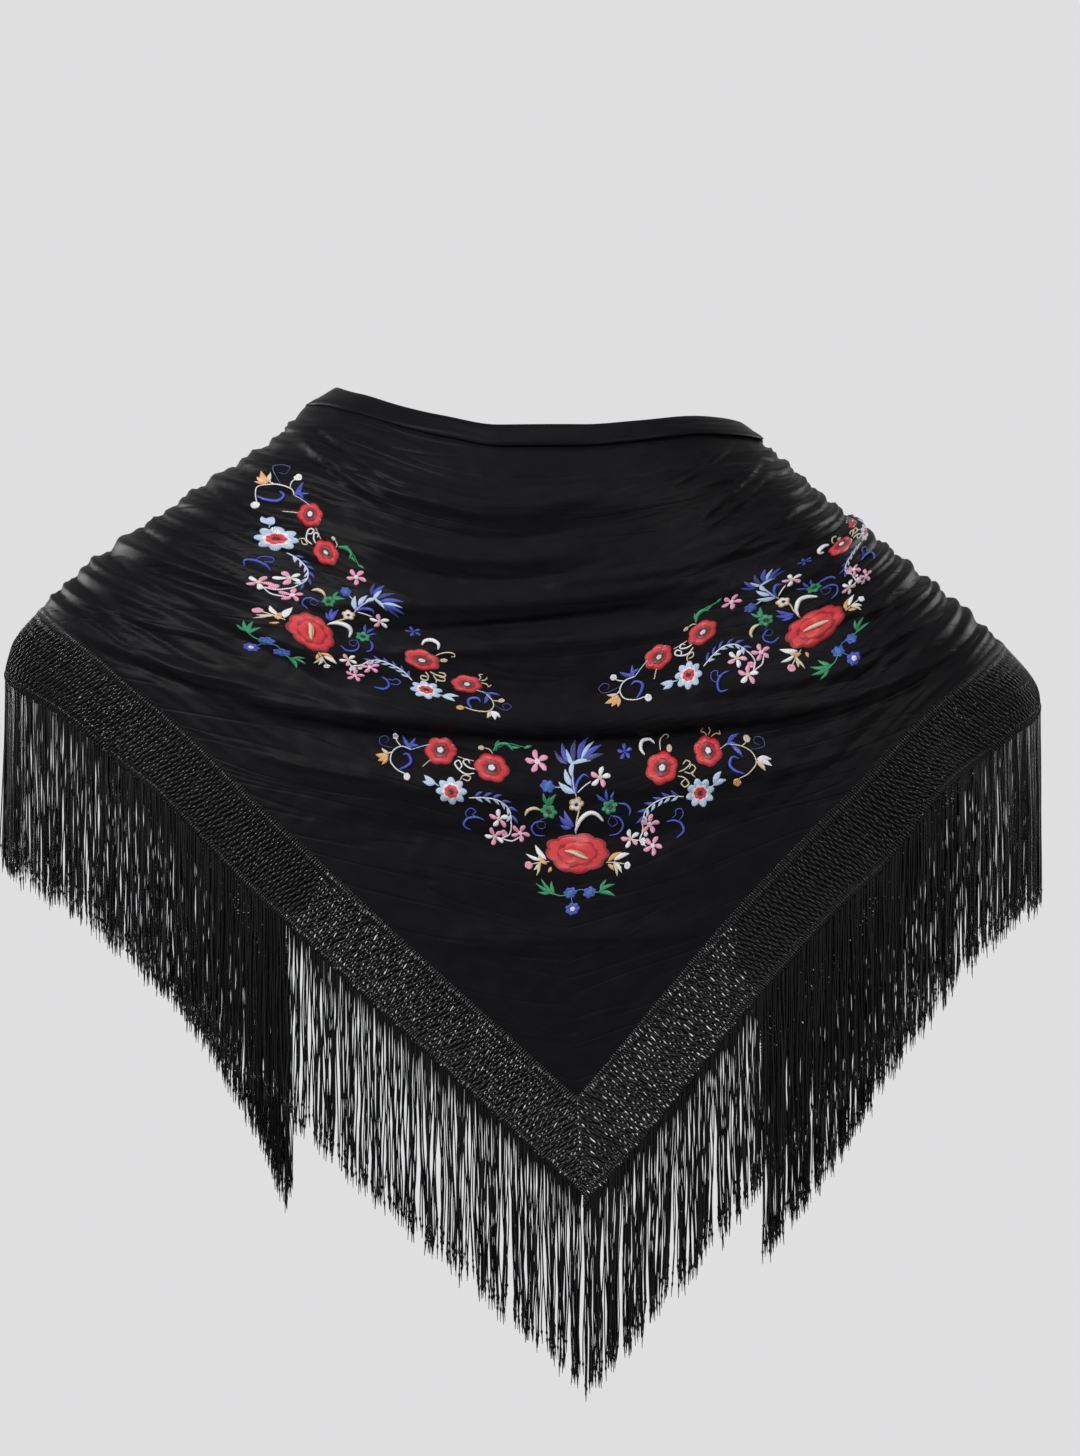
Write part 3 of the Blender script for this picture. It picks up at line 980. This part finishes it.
def gathered(parts):
    """Several lots of points and faces as one."""
    points, faces, total = [], [], 0
    for some_points, some_faces in parts:
        points.append(some_points)
        faces.append(some_faces + total)
        total += len(some_points)
    return np.concatenate(points), np.concatenate(faces)


class NetBand:
    """One side's band, from the back tip to the front corner. Along is measured on the hem from the tip."""

    def __init__(self, side):
        self.sign = SIDES[side]
        self.full = HALF_WIDTH * math.sqrt(2.0)
        shares = self.sign * np.linspace(0.0005, CORNER_SHARE, NET_STEPS)
        hem = np.ones(NET_STEPS)
        form = cloth_form(shares, 1.0)
        normals = outward(shares, hem)
        self.along = np.abs(shares) * self.full
        self.offset = normals * cloth_relief(shares, hem, form)[:, None]
        self.normals = normals
        steps = np.diff(form, axis=0)
        level = np.linalg.norm(steps[:, :2], axis=1)
        slope = steps[:, 2] / np.maximum(level, 1e-9)
        slope = np.clip(np.append(slope, slope[-1]), -STEEPEST, STEEPEST)
        window = np.ones(EVENED) / EVENED
        self.slope = np.convolve(np.pad(slope, EVENED // 2, mode="edge"), window, mode="valid")
        self.drop = np.minimum(NET_WIDTH * np.sqrt(1 + self.slope**2), NET_MOST_DROP)
        self.height = form[:, 2]
        self.angle = by_side(shares, HEM, "angle")
        self.length = self.along[-1]

    def read(self, table, along):
        """A table of the band, read at places along it."""
        along = np.clip(along, 0.0, self.length)
        if table.ndim == 1:
            return np.interp(along, self.along, table)
        return np.stack([np.interp(along, self.along, table[:, k]) for k in range(3)], axis=-1)

    def place(self, along, across, lifts=0.0):
        """Points on the band, lifted from its middle. Along and across are arrays of the same shape."""
        shape = along.shape
        along, across = along.ravel(), across.ravel()
        heights = self.read(self.height, along) - self.read(self.drop, along) * across
        shares = np.full(len(along), self.sign)
        points = form_point(shares, heights, self.read(self.angle, along))
        normals = unit(self.read(self.normals, along))
        lifts = np.broadcast_to(lifts, shape).ravel()
        points = points + self.read(self.offset, along) + normals * lifts[:, None]
        return points.reshape(*shape, 3), normals.reshape(*shape, 3)

    def threads(self, starts, low, high, lean, points, lifts):
        """Places of threads that cross the band from low to high, square to it but for their lean."""
        slope = self.read(self.slope, starts)
        past = starts - self.length
        from_tip = np.where(starts < 0, -starts / (NET_WIDTH * np.maximum(slope, 0.2)), -1.0)
        from_end = np.where(past > 0, past / (NET_WIDTH * np.maximum(-slope, 0.2)), -1.0)
        low = np.maximum(np.maximum(low, from_tip), from_end)
        kept = low < high - 0.01
        starts, slope, low = starts[kept], slope[kept], low[kept]
        high = np.broadcast_to(high, kept.shape)[kept]
        lean = np.broadcast_to(lean, kept.shape)[kept]
        steps = np.linspace(0.0, 1.0, points)
        across = low[:, None] + (high - low)[:, None] * steps
        along = starts[:, None] + NET_WIDTH * across * slope[:, None]
        along = along + lean[:, None] * (steps - 0.5)
        along = np.maximum(along, 0.0004)
        return self.place(along, across, lifts(steps))


def build_net(side, seed, material):
    """One net band: ribs on both borders, rows of slanting threads, threads under them and long ones."""
    band = NetBand(side)
    parts = []
    first = -NET_WIDTH * band.slope[0]
    room = band.length - first - NET_WIDTH * min(band.slope[-1], 0.0)

    def along(pitch, number):
        """Slightly uneven starts of threads along the whole band."""
        starts = first + np.arange(int(room / pitch)) * pitch
        return starts + unit_noise(len(starts), seed + number) * pitch * THREAD_UNEVENNESS

    def add(placed, radii):
        paths, facing = placed
        parts.append(tubes(paths, radii, facing))

    def bulge(steps):
        return 0.0004 + 0.0011 * np.sin(np.pi * steps)

    def dash_lift(steps):
        return 0.0001 + 0.0012 * np.sin(np.pi * steps)

    def under_lift(steps):
        return -0.0008 + 0.0001 * steps

    rib_radii = RIB_RADIUS * np.array([0.45, 1.0, 1.05, 1.0, 0.45])
    starts = along(RIB_PITCH, 1)
    high = UPPER_BORDER[1] + 0.012 * unit_noise(len(starts), seed + 2)
    add(band.threads(starts, UPPER_BORDER[0], high, 0.0006, 5, bulge), rib_radii)
    starts = along(LOWER_RIB_PITCH, 3)
    low = LOWER_BORDER[0] + 0.012 * unit_noise(len(starts), seed + 4)
    add(band.threads(starts, low, LOWER_BORDER[1], 0.0004, 5, bulge), rib_radii)

    for number, (low, high) in enumerate((UPPER_BORDER, LOWER_BORDER)):
        starts = along(UNDER_PITCH, 5 + number)
        lean = -UNDER_PITCH * (0.9 + 0.6 * unit_noise(len(starts), seed + 7 + number))
        under = band.threads(starts, low + 0.02, high - 0.005, lean, 3, under_lift)
        add(under, UNDER_RADIUS * np.array([0.9, 1.0, 0.9]))

    edges = np.linspace(*NET_MIDDLE, MIDDLE_ROWS + 1)
    for row, (low, high) in enumerate(zip(edges[:-1], edges[1:])):
        starts = along(DASH_PITCH, 10 + row) + DASH_PITCH * 0.5 * (row % 2)
        count = len(starts)
        tall = high - low
        shift = tall * (0.26 * (-1.0) ** np.arange(count) + 0.08 * unit_noise(count, seed + 30 + row))
        lean = 0.0016 + 0.0009 * unit_noise(count, seed + 20 + row)
        reach = tall * (0.20 + 0.12 * unit_noise(count, seed + 40 + row))
        placed = band.threads(starts, low + shift - reach, high + shift + reach, lean, 4, dash_lift)
        add(placed, DASH_RADIUS * np.array([0.55, 1.0, 1.0, 0.55]))
        lean = -DASH_PITCH * (0.9 + 0.6 * unit_noise(count, seed + 50 + row))
        placed = band.threads(starts + DASH_PITCH * 0.5, low - 0.02, high + 0.02, lean, 3, under_lift)
        add(placed, UNDER_RADIUS * np.array([0.9, 1.0, 0.9]))

    steps = np.arange(0.0006, band.length, LINE_STEP)
    for number, across in enumerate(LINES_ACROSS):
        phase = steps * 2 * np.pi / LINE_WAVE + 1.7 * number
        wave = 0.009 * np.sin(phase)
        lift = 0.0002 + 0.0005 * np.cos(phase)
        paths, facing = band.place(steps[None, :], across + wave[None, :], lift[None, :])
        parts.append(tubes(paths, LINE_RADIUS, facing))
    points, faces = gathered(parts)
    return band, add_mesh(f"net_looks_{side}", points, faces, [material])


def build_fringe(name, band, low, high, seed, material):
    """One length of fringe: fine yarn, hanging straight down from the band's lower border."""
    count, rings = STRANDS_PER_PIECE, STRAND_POINTS
    places = low + (high - low) * (np.arange(count) + 0.5 + 0.35 * unit_noise(count, seed)) / count
    roots, facing = band.place(places, np.full(count, ROOT_ACROSS), 0.0002)
    roots = roots + facing * (0.0008 * unit_noise(count, seed + 1))[:, None]
    level = unit(facing * np.array([1.0, 1.0, 0.0]))
    across = np.stack([-level[:, 1], level[:, 0], np.zeros(count)], axis=1)
    down = np.concatenate([np.linspace(0.0, 0.90, rings - 4), [0.920, 0.934, 0.948, 1.0]])
    length = FRINGE_LENGTH * (1.0 + 0.030 * unit_noise(count, seed + 2))
    length = length * (1.0 + 0.12 * np.minimum(unit_noise(count, seed + 3), 0.0))
    length = length + NET_WIDTH * (1.0 - ROOT_ACROSS)
    clump = (np.arange(count) + np.round(2 * unit_noise(count, seed + 4))).astype(int) // CLUMP
    clump = np.clip(clump, 0, count // CLUMP)
    clump_across, clump_out = unit_noise(count, seed + 5)[clump], unit_noise(count, seed + 6)[clump]
    own_across, own_out = unit_noise(count, seed + 7), unit_noise(count, seed + 8)
    phase, turns = np.pi * unit_noise(count, seed + 9), 1.3 + 0.6 * unit_noise(count, seed + 10)
    sway = CLUMP_SWAY * clump_across[:, None] * down**1.3 + OWN_SWAY * own_across[:, None] * down
    wave = np.sin(2 * np.pi * turns[:, None] * down + phase[:, None])
    sway = sway + WAVE_SWAY * wave * np.minimum(4 * down, 1.0)
    out = CLUMP_OUT * clump_out[:, None] * down**1.2 + OWN_OUT * own_out[:, None] * down
    paths = roots[:, None] + across[:, None] * sway[:, :, None] + level[:, None] * out[:, :, None]
    paths[:, :, 2] -= length[:, None] * down
    radii = np.full((count, rings), STRAND_RADIUS)
    radii *= 1.0 + 0.12 * unit_noise(count, seed + 11)[:, None]
    radii[:, 0] *= 1.3
    radii[:, -1] *= 0.45
    knots = np.random.default_rng(seed + 12).integers(3, rings - 2, count)
    knotted = np.arange(count)[np.random.default_rng(seed + 13).uniform(size=count) < KNOTTED_SHARE]
    radii[knotted, knots[knotted]] *= KNOT_SIZE
    radii[:, -3] *= END_KNOT_SIZE
    points, faces = tubes(paths, radii, level[:, None] * np.ones((1, rings, 1)))
    return add_mesh(name, points, faces, [material])


def curve(points, step):
    """A smooth curve through points, read about every step."""
    points = np.array(points, float)
    ends = np.concatenate([2 * points[:1] - points[1:2], points, 2 * points[-1:] - points[-2:-1]])
    pieces = []
    for a, b, c, d in zip(ends[:-3], ends[1:-2], ends[2:-1], ends[3:]):
        count = max(int(np.linalg.norm(c - b) / step), 2)
        t = np.linspace(0, 1, count, endpoint=False)[:, None]
        bend = (2 * a - 5 * b + 4 * c - d) * t**2 + (3 * b - a - 3 * c + d) * t**3
        pieces.append(b + 0.5 * ((c - a) * t + bend))
    return np.concatenate([*pieces, points[-1:]])


def grid_faces(rows, columns, closed):
    """Triangles of a grid of points. A closed one joins its last column to its first."""
    index = np.arange(rows * columns).reshape(rows, columns)
    beside = np.roll(index, -1, axis=1)
    if not closed:
        index, beside = index[:, :-1], beside[:, :-1]
    a, b, c, d = index[:-1], beside[:-1], index[1:], beside[1:]
    return np.concatenate([np.stack([a, b, d], -1).reshape(-1, 3), np.stack([a, d, c], -1).reshape(-1, 3)])


class Sewing:
    """All the stitching of one spray, put on the cloth part by part."""

    def __init__(self, lattice, spray):
        self.lattice, self.spray = lattice, spray
        self.points, self.faces, self.numbers, self.flat, self.total = [], [], [], [], 0

    def on_cloth(self, x, y):
        """Points and normals of the cloth's outer face at places in the spray's own mm."""
        p, q = x[:, None] / 100, y[:, None] / 100
        bends = (self.spray.right_right, self.spray.right_up, self.spray.up_up)
        place = np.array(self.spray.middle) + p * np.array(self.spray.right) + q * np.array(self.spray.up)
        for bend, weight in zip(bends, (p * p, p * q, q * q)):
            place = place + weight * np.array(bend)
        points, normals = self.lattice.at(place[:, 0] * MM, place[:, 1] * MM)
        return points + normals * CLOTH_THICKNESS / 2, normals

    def keep(self, points, faces, colour, flat):
        self.points.append(points)
        self.faces.append(faces + self.total)
        self.numbers.append(np.full(len(faces), list(THREADS).index(colour)))
        self.flat.append(flat)
        self.total += len(points)

    def sew(self, x, y, lifts, faces, colour, flat):
        points, normals = self.on_cloth(x, y)
        self.keep(points + normals * lifts[:, None] * MM, faces, colour, flat)

    def round(self, bloom, layer):
        """A lobed round of satin stitch, its stitches running outwards."""
        count = max(6 * layer.lobes, 24)
        angles = 2 * np.pi * np.arange(count) / count
        lobe = np.abs(np.cos(layer.lobes * angles / 2))
        steps = np.array([1.0, 0.95, 0.80, 0.55, 0.28, 0.03])[:, None]
        crest = np.array([0.0, 0.62, 1.0, 0.86, 0.74, 0.70])[:, None]
        reach = steps * (1 - layer.notch * (1 - lobe) * steps) * layer.size / 2
        groove = 1 - 0.80 * (1 - lobe) ** 2 * steps
        lifts = layer.lift + layer.height * crest * groove
        turn = math.radians(bloom.turn)
        wide, tall = bloom.width * reach * np.cos(angles), bloom.height * reach * np.sin(angles)
        x = bloom.x + wide * math.cos(turn) - tall * math.sin(turn)
        y = bloom.y + wide * math.sin(turn) + tall * math.cos(turn)
        girth = np.broadcast_to(angles * bloom.width * layer.size / 2, reach.shape)
        flat = np.stack([girth.ravel(), (reach * bloom.width).ravel()], axis=1)
        faces = grid_faces(6, count, True)[:, ::-1]
        self.sew(x.ravel(), y.ravel(), lifts.ravel(), faces, layer.colour, flat)

    def leaf(self, leaf, blunt=False, lift=0.10):
        """A leaf or petal of satin stitch, its stitches running across."""
        along = np.linspace(0.0, 1.0, 9)[:, None]
        across = np.linspace(-1.0, 1.0, 5)[None, :]
        if blunt:
            wide = np.sqrt(np.clip(1 - (2 * along**1.35 - 1) ** 2, 0.0, 1.0))
        else:
            wide = np.sin(np.pi * along**0.85) ** 0.85
        wide = np.maximum(np.nan_to_num(wide), 0.05)
        rib = 0.0 if blunt else 0.25 * np.exp(-((across / 0.3) ** 2))
        lifts = lift + 0.75 * np.sqrt(1 - 0.98 * across**2) * np.minimum(wide * 1.4, 1.0) - rib * wide
        turn = math.radians(leaf.angle)
        bend = 0.08 * leaf.length * np.sin(np.pi * along)
        far, side = along * leaf.length + 0 * across, across * wide * leaf.width * LEAF_SLENDER / 2 + bend
        x = leaf.x + far * math.cos(turn) - side * math.sin(turn)
        y = leaf.y + far * math.sin(turn) + side * math.cos(turn)
        flat = np.stack([far.ravel() + np.abs(side).ravel() * 0.6, side.ravel()], axis=1)
        faces = grid_faces(9, 5, False)[:, ::-1]
        self.sew(x.ravel(), y.ravel(), lifts.ravel(), faces, leaf.colour, flat)

    def star(self, star):
        """A small flower of round petals and a raised centre."""
        for number in range(PETALS):
            angle = star.turn + 360.0 / PETALS * number
            colour = star.second if number % 2 else star.first
            turn = math.radians(angle)
            x, y = star.x + PETAL_GAP * math.cos(turn), star.y + PETAL_GAP * math.sin(turn)
            petal = Leaf(colour, x, y, angle, star.size / 2 - PETAL_GAP, star.size * PETAL_WIDTH)
            self.leaf(petal, blunt=True, lift=0.10 + 0.06 * (number % 2))
        centre = Bloom("", star.x, star.y, star.size * 0.24, star.size * 0.24, 0.0)
        self.round(centre, Layer(star.centre, 1.0, 5, 0.05, 0.45, 0.6))

    def cord(self, cord):
        """A stem, scroll or crescent: a round cord that narrows to its ends."""
        path = curve(cord.points, 0.7 if cord.pearled else 1.0)
        steps = np.concatenate([[0.0], np.cumsum(np.linalg.norm(np.diff(path, axis=0), axis=1))])
        share = steps / steps[-1]
        size = cord.ends + (1 - cord.ends) * np.sin(np.pi * share) ** 0.7
        size[[0, -1]] *= 0.35
        if cord.pearled:
            size = size * (0.60 + 0.50 * np.abs(np.sin(np.pi * steps / PEARL)))
        radii = cord.width / 2 * size * MM
        points, normals = self.on_cloth(path[:, 0], path[:, 1])
        points = points + normals * (0.45 * radii + cord.lift * MM)[:, None]
        tube, faces = tubes(points[None], radii[None], normals[None], 6)
        faces = np.concatenate([faces[:, [0, 1, 2]], faces[:, [0, 2, 3]]])
        flat = np.stack([np.repeat(steps, 6), np.tile(np.arange(6.0), len(steps))], axis=1)
        self.keep(tube, faces, cord.colour, flat)

    def vine(self, vine):
        """A stem with pairs of leaves that get smaller towards its start."""
        self.cord(Cord("white", 1.0, 0.8, False, vine.stem))
        path = curve(vine.stem, 0.5)
        for pair in range(vine.pairs):
            place = int((0.12 + 0.80 * pair / (vine.pairs - 1)) * (len(path) - 2))
            ahead = path[place + 1] - path[place]
            angle = math.degrees(math.atan2(ahead[1], ahead[0]))
            side = 1 if ahead[0] > 0 else -1
            x, y = path[place]
            self.leaf(Leaf(vine.upper, x, y, angle + 32 * side, vine.length, 2.8))
            self.leaf(Leaf(vine.lower, x, y, angle - 38 * side, vine.length * 0.85, 2.8))


def build_spray(lattice, spray, materials):
    sewing = Sewing(lattice, spray)
    for cord in CORDS:
        sewing.cord(cord)
    for vine in VINES:
        sewing.vine(vine)
    for leaf in LEAVES:
        sewing.leaf(leaf)
    for star in STARS:
        sewing.star(star)
    for bloom in FLOWERS:
        for layer in BLOOMS[bloom.kind]:
            sewing.round(bloom, layer)
    return add_mesh(
        f"embroidery_{spray.name}",
        np.concatenate(sewing.points),
        np.concatenate(sewing.faces),
        materials,
        np.concatenate(sewing.numbers),
        np.concatenate(sewing.flat),
    )


class Look:
    """A material, its main shader, and short ways to add to its nodes."""

    def __init__(self, name):
        self.material = bpy.data.materials.new(name)
        self.material.use_nodes = True
        self.tree = self.material.node_tree
        self.shader = self.tree.nodes["Principled BSDF"]

    def add(self, kind, result, inputs, **settings):
        """The result of a new node. Each of its inputs is a plain value or the result of another node."""
        node = self.tree.nodes.new(kind)
        for name, value in settings.items():
            setattr(node, name, value)
        for name, value in inputs.items():
            if isinstance(value, bpy.types.NodeSocket):
                self.tree.links.new(value, node.inputs[name])
            else:
                node.inputs[name].default_value = value
        return node.outputs[result]

    def flat_place(self):
        """Places on the flat cut of the cloth, or along and across each stitch."""
        return self.add("ShaderNodeUVMap", "UV", {}, uv_map="flat")

    def bump(self, height, strength, distance, **under):
        """A normal raised by a height, over the normal of a lower bump where one is given."""
        inputs = {"Height": height, "Strength": strength, "Distance": distance, **under}
        return self.add("ShaderNodeBump", "Normal", inputs)

    def colour(self, factor, dark, light):
        """Colours the material from dark to light by a factor."""
        ramp = self.tree.nodes.new("ShaderNodeValToRGB")
        ramp.color_ramp.elements[0].color = (*dark, 1.0)
        ramp.color_ramp.elements[1].color = (*light, 1.0)
        self.tree.links.new(factor, ramp.inputs["Fac"])
        self.tree.links.new(ramp.outputs["Color"], self.shader.inputs["Base Color"])

    def normal(self, result):
        self.tree.links.new(result, self.shader.inputs["Normal"])


def cloth_material():
    """Fine black cloth: faint clouding, a very fine knit, a crinkle and pinched creases."""
    look = Look("black_cloth")
    place = look.flat_place()
    cloud = look.add("ShaderNodeTexNoise", "Fac", {"Vector": place, "Scale": 60.0, "Detail": 4.0})
    look.colour(cloud, (0.0012, 0.0012, 0.0015), (0.0028, 0.0028, 0.0032))

    knit_inputs = {"Vector": place, "Scale": 420.0, "Distortion": 1.5, "Detail": 2.0}
    knit = look.add("ShaderNodeTexWave", "Fac", knit_inputs, wave_type="BANDS", bands_direction="DIAGONAL")
    weave = look.bump(knit, strength=0.25, distance=0.0002)

    crinkle = look.add("ShaderNodeTexNoise", "Fac", {"Vector": place, "Scale": 150.0, "Detail": 3.0})
    soft = look.bump(crinkle, strength=0.30, distance=0.0008, Normal=weave)

    stretch_inputs = {"Vector": place, "Scale": (5.0, 42.0, 1.0), "Rotation": (0.0, 0.0, 0.06)}
    stretched = look.add("ShaderNodeMapping", "Vector", stretch_inputs)
    fine_inputs = {"Vector": stretched, "Scale": 1.0, "Detail": 1.5, "Distortion": 0.5}
    fine = look.add("ShaderNodeTexNoise", "Fac", fine_inputs)
    line = look.add("ShaderNodeMath", "Value", {0: fine, 1: 0.5}, operation="PINGPONG")
    trough_inputs = {"Value": line, "From Min": 0.500, "From Max": 0.440}
    trough = look.add("ShaderNodeMapRange", "Result", trough_inputs, interpolation_type="SMOOTHSTEP")
    look.normal(look.bump(trough, strength=0.28, distance=0.0010, Normal=soft))

    look.shader.inputs["Roughness"].default_value = 0.42
    look.shader.inputs["Specular IOR Level"].default_value = 0.024
    return look.material


def yarn_material():
    """Glossy black yarn with a fine twist."""
    look = Look("black_yarn")
    place = look.add("ShaderNodeTexCoord", "Object", {})
    twist = look.add("ShaderNodeTexNoise", "Fac", {"Vector": place, "Scale": 900.0, "Detail": 2.0})
    look.colour(twist, (0.0006, 0.0006, 0.0008), (0.0020, 0.0020, 0.0024))
    look.normal(look.bump(twist, strength=0.4, distance=0.0003))
    look.shader.inputs["Roughness"].default_value = 0.20
    look.shader.inputs["Specular IOR Level"].default_value = 0.19
    return look.material


def thread_material(name, colour):
    """Satin stitch in one colour: fine ridges along the stitches, a little unevenness and a silky shine."""
    look = Look(f"thread_{name}")
    place = look.flat_place()
    inputs = {"Vector": place, "Scale": 0.30, "Distortion": 1.2, "Detail": 2.0, "Detail Scale": 1.5}
    stitches = look.add("ShaderNodeTexWave", "Fac", inputs, wave_type="BANDS", bands_direction="X")
    dark = tuple(DARK_SHARE * part for part in colour)
    light = tuple(LIGHT_SHARE * part for part in colour)
    look.colour(stitches, dark, light)
    look.normal(look.bump(stitches, strength=0.55, distance=0.0004))
    look.shader.inputs["Roughness"].default_value = 0.42
    look.shader.inputs["Specular IOR Level"].default_value = 0.30
    return look.material


def floor_material():
    look = Look("pale_floor")
    look.shader.inputs["Base Color"].default_value = (0.30, 0.30, 0.305, 1.0)
    look.shader.inputs["Roughness"].default_value = 0.8
    return look.material


def add_floor():
    bpy.ops.mesh.primitive_circle_add(vertices=96, radius=2.5, fill_type="NGON", location=(0, 0, -1.4))
    floor = bpy.context.object
    floor.name = "floor"
    floor.data.materials.append(floor_material())
    floor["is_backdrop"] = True


Lamp = namedtuple("Lamp", "name place size power")
LAMPS = [
    Lamp("key", (-2.2, -2.4, 1.2), 0.9, 250.0),
    Lamp("fill", (2.3, -2.6, 0.6), 0.9, 95.0),
    Lamp("top", (0.2, -1.2, 2.2), 1.2, 28.0),
    Lamp("front_left", (-2.6, 1.8, 0.4), 1.2, 90.0),
    Lamp("front_right", (2.6, 1.8, 0.4), 1.2, 60.0),
]


def add_lights():
    target = np.array([0.0, 0.0, -0.3])
    for lamp in LAMPS:
        light = bpy.data.lights.new(lamp.name, "AREA")
        light.shape = "SQUARE"
        light.size = lamp.size
        light.energy = lamp.power
        item = bpy.data.objects.new(lamp.name, light)
        bpy.context.scene.collection.objects.link(item)
        item.location = lamp.place
        away = Vector(lamp.place) - Vector(target)
        item.rotation_mode = "QUATERNION"
        item.rotation_quaternion = away.to_track_quat("Z", "Y")
    world = bpy.data.worlds.new("pale_room")
    bpy.context.scene.world = world
    world.use_nodes = True
    back = world.node_tree.nodes["Background"]
    back.inputs["Color"].default_value = (0.74, 0.74, 0.75, 1.0)
    back.inputs["Strength"].default_value = 1.0


def add_camera():
    data = bpy.data.cameras.new("camera")
    data.sensor_width = 36.0
    data.lens = 133.6
    data.clip_start, data.clip_end = 0.1, 20.0
    camera = bpy.data.objects.new("camera", data)
    camera.location = (-0.015, -4.0, -0.224)
    camera.rotation_euler = (math.radians(90), 0, 0)
    bpy.context.scene.collection.objects.link(camera)
    bpy.context.scene.camera = camera
    bpy.context.scene.view_settings.view_transform = "Standard"


def main():
    cloth_look, yarn_look = cloth_material(), yarn_material()
    lattice = Lattice()
    cloth = build_cloth(lattice, cloth_look)
    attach(cloth, "root")
    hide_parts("cloth")
    threads = [thread_material(name, colour) for name, colour in THREADS.items()]
    for spray in SPRAYS:
        stitching = build_spray(lattice, spray, threads)
        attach(stitching, "root")
    for number, side in enumerate(SIDES):
        band, net = build_net(side, 100 + 200 * number, yarn_look)
        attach(net, "root")
        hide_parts(f"net_{side}")
        elbow = crossing_share(HEM[side]) * band.full
        stretches = {"back": (0.0006, elbow), "front": (elbow, band.length - 0.001)}
        for part, (low, high) in stretches.items():
            seed = 1000 + 200 * number + (50 if part == "front" else 0)
            fringe = build_fringe(f"fringe_looks_{part}_{side}", band, low, high, seed, yarn_look)
            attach(fringe, "root")
            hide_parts(f"fringe_{part}_{side}")
    add_floor()
    add_lights()
    add_camera()
    low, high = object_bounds()


main()
